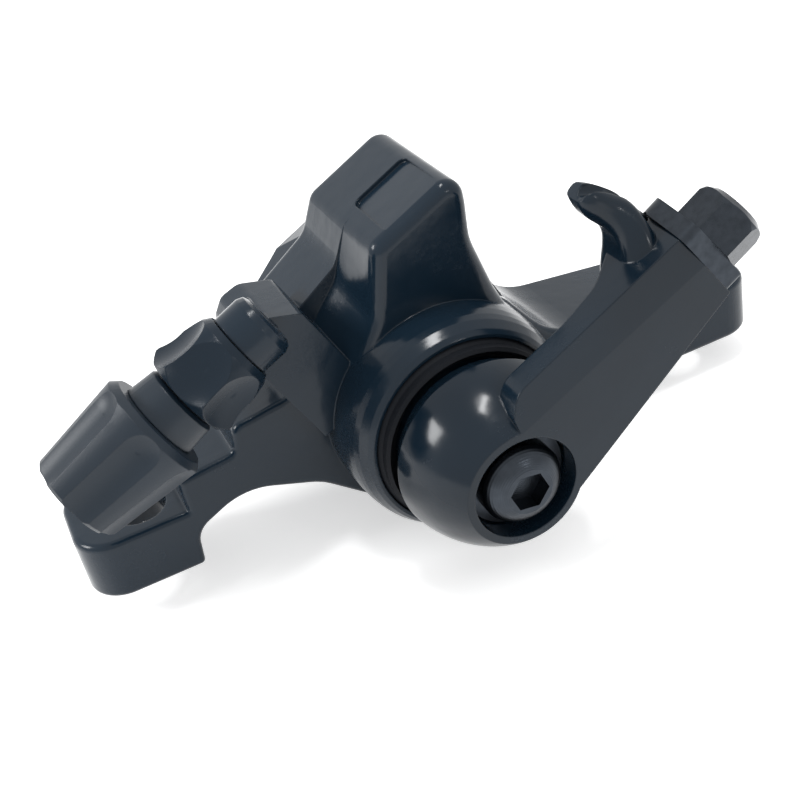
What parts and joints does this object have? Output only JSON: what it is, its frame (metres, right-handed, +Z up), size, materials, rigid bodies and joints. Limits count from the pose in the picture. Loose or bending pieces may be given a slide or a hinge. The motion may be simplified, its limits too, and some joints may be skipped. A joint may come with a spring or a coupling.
{
  "type": "mechanical disc brake caliper",
  "caption": "Cable-pulled disc brake caliper for a scooter: cast body with slotted ears, ball-ramp lever arm, sliding pads and a screw cable adjuster.",
  "frame": {"origin": "midway between the two slotted ears, on the plane of their underside mounting faces", "axes": "+X from the ear under the cable adjuster towards the ear beside the lever arm, +Y inboard towards the rotor, +Z up along the mounting bolts, away from the posts"},
  "size_m": [0.0924, 0.0554, 0.0411],
  "materials": {
    "casting_paint": "glossy black paint over a cast surface",
    "arm_paint": "glossy black paint",
    "seal_rubber": "matt black moulded rubber",
    "washer_bronze": "turned bearing bronze",
    "spring_steel": "drawn spring wire",
    "pin_steel": "ground steel",
    "spring_sheet": "rolled stainless sheet",
    "nut_anodised": "black anodised",
    "sleeve_anodised": "black anodised, turned",
    "knob_anodised": "black anodised",
    "barrel_anodised": "black anodised thread",
    "bolt_black": "black oxide steel with a light sheen",
    "washer_steel": "stamped steel",
    "cam_steel": "hardened turned steel",
    "ball_steel": "polished bearing steel",
    "plate_black": "black paint on stamped steel",
    "anchor_black": "dark plated steel",
    "foot_steel": "turned and ground steel",
    "backing_steel": "stamped steel plate",
    "friction_compound": "pressed semi-metallic compound",
    "screw_aluminium": "turned aluminium"
  },
  "bodies": {
    "caliper": {"caliper_body": "casting_paint", "dust_seal": "seal_rubber", "thrust_washer": "washer_bronze", "return_spring": "spring_steel", "pad_pin": "pin_steel", "pad_spring": "spring_sheet", "lock_nut": "nut_anodised"},
    "lever": {"lever_arm": "arm_paint", "lever_bolt": "bolt_black", "lever_washer": "washer_steel", "spindle_cam": "cam_steel", "ramp_balls": "ball_steel", "pinch_plate": "plate_black", "anchor_bolt": "anchor_black"},
    "follower": {"pressure_foot": "foot_steel"},
    "outboard_pad": {"outboard_backing_plate": "backing_steel", "outboard_friction_block": "friction_compound"},
    "inboard_pad": {"inboard_backing_plate": "backing_steel", "inboard_friction_block": "friction_compound"},
    "pad_screw": {"inboard_screw": "screw_aluminium"},
    "adjuster_slider": {"adjuster_sleeve": "sleeve_anodised"},
    "adjuster": {"adjuster_barrel": "barrel_anodised", "adjuster_knob": "knob_anodised"}
  },
  "joints": [
    {"name": "lever_turn", "type": "hinge", "parent": "caliper", "child": "lever", "pos_m": [0, -0.0185, 0.01], "axis": [0, -1, 0], "range_deg": [0, 45], "stiffness_Nm_per_rad": 0.06, "springref_deg": -34.38},
    {"name": "foot_slide", "type": "slide", "parent": "caliper", "child": "follower", "axis": [0, 1, 0], "range_m": [0, 0.00126]},
    {"name": "outboard_pad_slide", "type": "slide", "parent": "caliper", "child": "outboard_pad", "axis": [0, 1, 0], "range_m": [0, 0.00126]},
    {"name": "inboard_pad_slide", "type": "slide", "parent": "caliper", "child": "inboard_pad", "axis": [0, -1, 0], "range_m": [0, 0.0008]},
    {"name": "pad_screw_turn", "type": "hinge", "parent": "inboard_pad", "child": "pad_screw", "pos_m": [0, 0.0195, 0.01], "axis": [0, -1, 0], "range_deg": [0, 288.1]},
    {"name": "adjuster_slide", "type": "slide", "parent": "caliper", "child": "adjuster_slider", "axis": [-0.9048, 0, -0.4258], "range_m": [-0.00025, 0.0021]},
    {"name": "adjuster_turn", "type": "hinge", "parent": "adjuster_slider", "child": "adjuster", "pos_m": [-0.0339, -0.013, 0.02333], "axis": [-0.9048, 0, -0.4258], "range_deg": [-90.1, 756.1]}
  ],
  "couplings": [
    {"joint": "foot_slide", "follows": "lever_turn", "m_per_rad": 0.0015915},
    {"joint": "outboard_pad_slide", "follows": "lever_turn", "m_per_rad": 0.0015915},
    {"joint": "pad_screw_turn", "follows": "inboard_pad_slide", "rad_per_m": 6283.2},
    {"joint": "adjuster_turn", "follows": "adjuster_slide", "rad_per_m": 6283.2}
  ]
}
